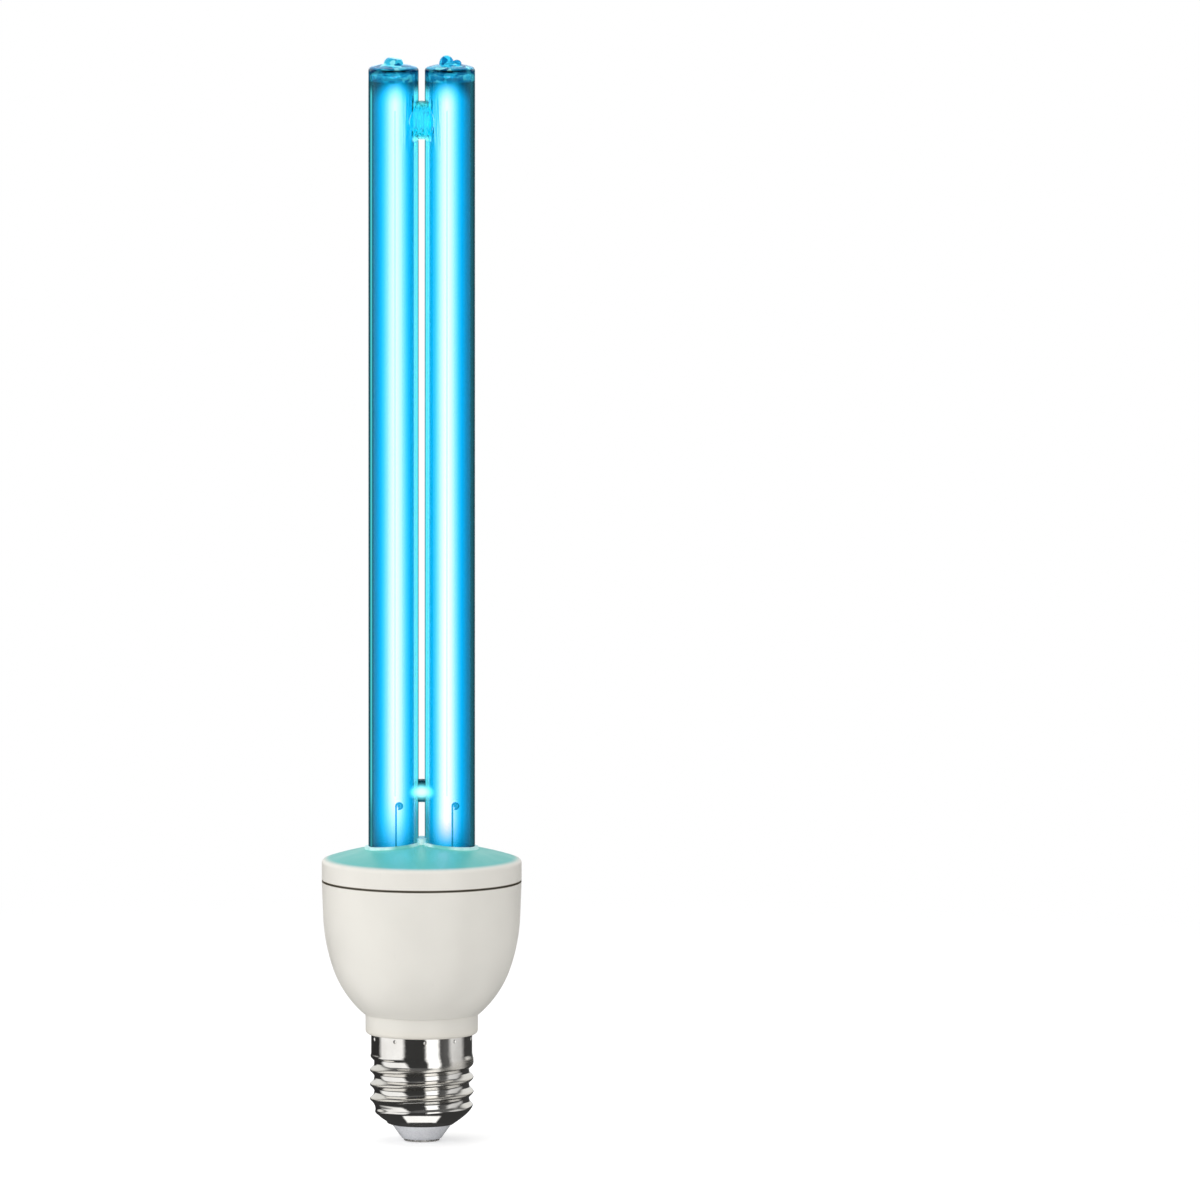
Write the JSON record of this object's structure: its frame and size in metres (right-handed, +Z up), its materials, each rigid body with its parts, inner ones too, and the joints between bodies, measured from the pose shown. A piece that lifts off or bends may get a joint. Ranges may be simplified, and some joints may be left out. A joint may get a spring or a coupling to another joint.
{
  "type": "germicidal uv bulb",
  "caption": "Screw-base germicidal lamp: an H-shaped clear quartz twin tube on a round ballast housing, with its ballast parts inside.",
  "frame": {"origin": "centre of the centre contact's flat bottom face, on the lamp's axis", "axes": "+Z up the lamp's axis to the tube tips, +X to the right-hand tube, -Y to the viewer"},
  "size_m": [0.0504, 0.0504, 0.2752],
  "materials": {
    "contact_metal": "tinned, lightly scuffed",
    "insulator_glaze": "smooth pale grey glaze",
    "shell_plating": "bright nickel plating on rolled sheet",
    "housing_plastic": "satin warm white moulded plastic",
    "cover_plastic": "satin warm white moulded plastic",
    "cement": "matt white cement",
    "quartz": "clear fused quartz, blue in the discharge's light",
    "filament_coating": "white emitter coating on a tungsten coil",
    "lead_wire": "nickel wire",
    "post_metal": "tinned square posts",
    "board": "plain paper-resin circuit board",
    "ferrite": "dull dark ferrite",
    "bobbin_plastic": "black moulded plastic",
    "copper_winding": "enamelled copper wire",
    "capacitor_sleeve": "dark shrink sleeve",
    "epoxy_black": "black moulded epoxy",
    "film_capacitor": "red-brown dipped lacquer",
    "resistor_lacquer": "grey-green lacquer",
    "thermistor_lacquer": "dark green lacquer",
    "wire_insulation": "pale silicone insulation"
  },
  "bodies": {
    "root": {"centre_contact": "contact_metal", "base_insulator": "insulator_glaze", "screw_shell": "shell_plating", "ballast_housing": "housing_plastic", "top_cover": "cover_plastic", "tube_cement": "cement", "quartz_tube": "quartz", "filament_left": "filament_coating", "filament_right": "filament_coating", "lead_left_front": "lead_wire", "lead_left_back": "lead_wire", "lead_right_front": "lead_wire", "lead_right_back": "lead_wire", "wire_posts": "post_metal", "circuit_board": "board", "choke_core": "ferrite", "choke_bobbin": "bobbin_plastic", "choke_winding": "copper_winding", "electrolytic_capacitor": "capacitor_sleeve", "driver_toroid": "ferrite", "toroid_windings": "copper_winding", "transistor_front": "epoxy_black", "transistor_back": "epoxy_black", "resonant_capacitor": "film_capacitor", "blocking_capacitor": "film_capacitor", "bridge_rectifier": "epoxy_black", "filter_inductor": "ferrite", "fusible_resistor": "resistor_lacquer", "thermistor": "thermistor_lacquer", "contact_wire": "wire_insulation", "shell_wire": "wire_insulation"}
  },
  "joints": []
}
